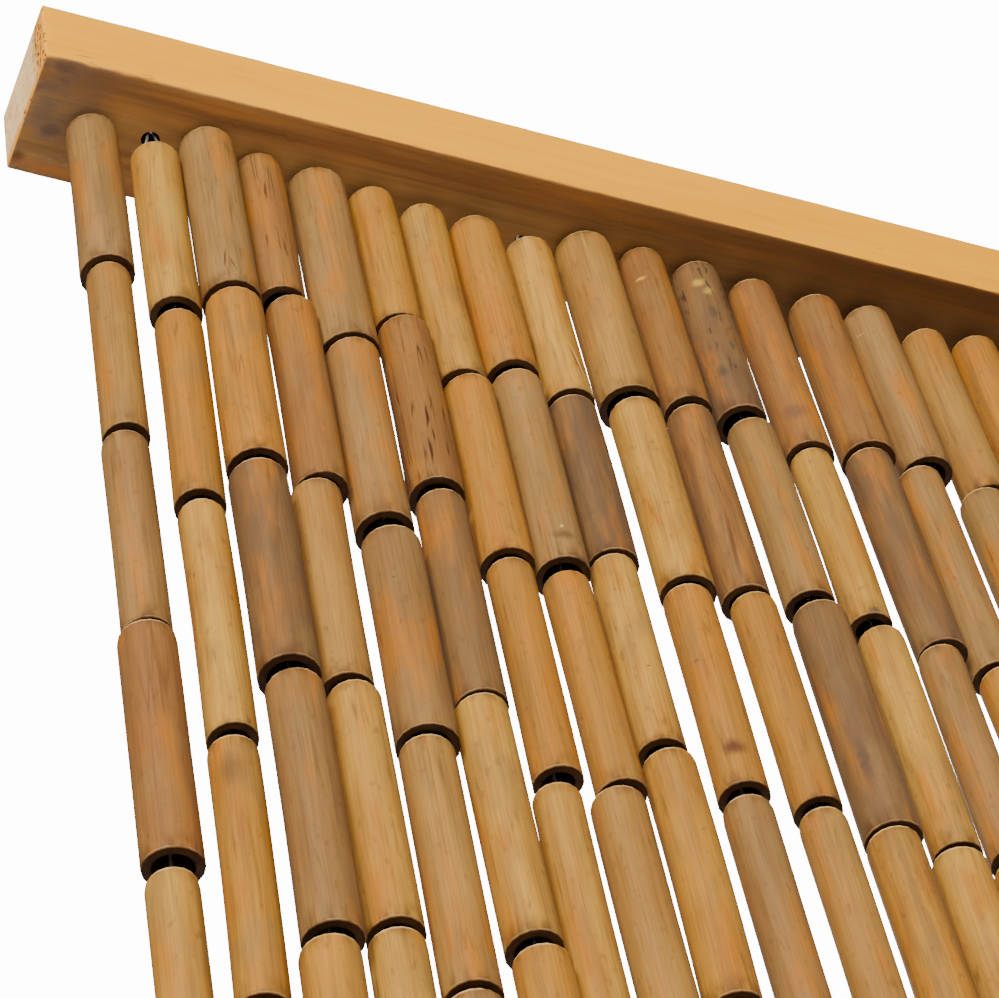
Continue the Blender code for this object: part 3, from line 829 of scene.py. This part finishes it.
def loop_path(hole, tube_top):
    """From inside the first tube up one leg, over in a half circle in the hole, and down again.

    Between the tube and the half circle the legs lean together by the slope.
    """
    swing = np.linspace(pi, 0, LOOP_POINTS)
    crown_x = hole[0] + LOOP_HALF_WIDTH * np.cos(swing)
    crown_y = np.full(LOOP_POINTS, hole[1] - LOOP_FORWARD)
    crown_z = RAIL_LOW.z + LOOP_RISE + LOOP_HALF_WIDTH * np.sin(swing)
    half_width = LOOP_HALF_WIDTH + LEG_SLOPE * (RAIL_LOW.z + LOOP_RISE - tube_top[2])
    left = [tube_top[0] - half_width, tube_top[1], tube_top[2]]
    right = [tube_top[0] + half_width, tube_top[1], tube_top[2]]
    down = np.array([0.0, 0.0, -LEG_IN_TUBE])
    crown = np.stack([crown_x, crown_y, crown_z], axis=-1)
    return np.vstack([left + down, left, crown, right, right + down])


def make_wire_steel():
    """Drawn galvanised steel wire, left bright: to the eye pale neutral metal with duller spots."""
    material, tree = new_material("galvanised_wire")
    place = add_node(tree, "ShaderNodeTexCoord").outputs["Object"]
    spots = pattern(tree, place, (1.5, 1.5, 4), 0.35, 0.7, 2.0, 3.0)
    base = mix(tree, spots, colour("#F6F6F2"), colour("#D2D2CC"))
    rough = ramp(tree, spots, 0.0, 1.0, 0.45, 0.55)
    shader = add_node(tree, "ShaderNodeBsdfPrincipled", settings={"Metallic": 1.0},
                      links={"Base Color": base, "Roughness": rough})
    add_node(tree, "ShaderNodeOutputMaterial", links={"Surface": shader.outputs["BSDF"]})
    return material


wire_points, wire_quads, wire_caps, made = [], [], [], 0
for strand_name, hole in zip(STRAND_NAMES, holes):
    tops, bottoms, _ = strand_tubes(strand_name)
    line = np.vstack([tops[0] - [0, 0, WIRE_BELOW_TOP], (bottoms[:-1] + tops[1:]) / 2,
                      bottoms[-1] + [0, 0, WIRE_ABOVE_FOOT]])
    for path in (loop_path(hole, tops[0]), line[::-1]):
        wire_points.append(wire_along(path))
        wire_quads.append(loft_faces(len(path), WIRE_SIDES) + made)
        first_ring = made + np.arange(WIRE_SIDES)
        made += len(path) * WIRE_SIDES
        wire_caps += [first_ring[::-1], made - WIRE_SIDES + np.arange(WIRE_SIDES)]
wires = mesh_from_arrays("strand_wires", np.vstack(wire_points), np.vstack(wire_quads), wire_caps)
wires.data.materials.append(make_wire_steel())
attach(wires, "root")

# Studio
# A pale floor under the curtain, a white surround, one large soft key light in front to the left,
# and two others that keep the right side and the back readable.

CAMERA_PLACE = (-0.44013, -0.44769, -0.76295)
CAMERA_AZIMUTH = 31.9
CAMERA_ELEVATION = 51.13
CAMERA_ROLL = -13.57
FOCAL_PIXELS = 3500.0
IMAGE_WIDTH = 999.0
SENSOR_WIDTH = 36.0
LAMP_COLOUR = (1.0, 0.96, 0.88)
SURROUND_LIGHT = 0.22
SURROUND_SEEN = 14.0
WHITE = (1.0, 1.0, 1.0, 1.0)
FLOOR_DROP = 12 * MM
FLOOR_SIZE = 8.0


def aim(azimuth, elevation, roll):
    """The turn of a camera that looks that way: azimuth from +Y towards +X, elevation above level."""
    turn, rise = radians(azimuth), radians(elevation)
    forward = Vector((sin(turn) * cos(rise), cos(turn) * cos(rise), sin(rise)))
    level = forward.to_track_quat("-Z", "Y").to_matrix()
    return (level @ Matrix.Rotation(radians(roll), 3, "Z")).to_euler()


camera_data = bpy.data.cameras.new("camera")
camera_data.sensor_width = SENSOR_WIDTH
camera_data.lens = FOCAL_PIXELS / IMAGE_WIDTH * SENSOR_WIDTH
camera_data.clip_end = 50.0
camera = bpy.data.objects.new("camera", camera_data)
camera.location = CAMERA_PLACE
camera.rotation_euler = aim(CAMERA_AZIMUTH, CAMERA_ELEVATION, CAMERA_ROLL)
bpy.context.scene.collection.objects.link(camera)
bpy.context.scene.camera = camera


def add_softbox(name, place, target, size, watts):
    """A square area light of that size and power, turned to the target."""
    data = bpy.data.lights.new(name, "AREA")
    data.energy = watts
    data.size = size
    data.color = LAMP_COLOUR
    lamp = bpy.data.objects.new(name, data)
    lamp.location = place
    lamp.rotation_euler = (Vector(target) - Vector(place)).to_track_quat("-Z", "Y").to_euler()
    bpy.context.scene.collection.objects.link(lamp)


add_softbox("key", (-1.6, -2.1, 0.3), (-0.1, 0.0, -0.4), 1.2, 145.0)
add_softbox("right_fill", (2.2, -0.2, 0.4), (0.0, 0.0, -0.8), 1.2, 12.0)
add_softbox("back_fill", (0.8, 2.4, 0.9), (0.0, 0.0, -0.8), 1.4, 100.0)

world = bpy.data.worlds.new("surround")
bpy.context.scene.world = world
world.use_nodes = True
world.node_tree.nodes.clear()
lit, seen = (add_node(world.node_tree, "ShaderNodeBackground",
                      settings={"Color": WHITE, "Strength": strength})
             for strength in (SURROUND_LIGHT, SURROUND_SEEN))
light_path = add_node(world.node_tree, "ShaderNodeLightPath")
both = add_node(world.node_tree, "ShaderNodeMixShader",
                links={0: light_path.outputs["Is Camera Ray"], 1: lit.outputs[0], 2: seen.outputs[0]})
add_node(world.node_tree, "ShaderNodeOutputWorld", links={"Surface": both.outputs[0]})

floor_corners = np.array([(-1, -1), (1, -1), (1, 1), (-1, 1)]) * FLOOR_SIZE / 2
floor_heights = np.full((4, 1), CAD_BOX[0][2] - FLOOR_DROP)
floor = mesh_from_arrays("floor", np.hstack([floor_corners, floor_heights]), np.array([[0, 1, 2, 3]]))
floor_paint, floor_tree = new_material("pale_floor_paint")
floor_shader = add_node(floor_tree, "ShaderNodeBsdfPrincipled",
                        settings={"Base Color": colour("#F4F2EE"), "Roughness": 0.8})
add_node(floor_tree, "ShaderNodeOutputMaterial", links={"Surface": floor_shader.outputs["BSDF"]})
floor.data.materials.append(floor_paint)
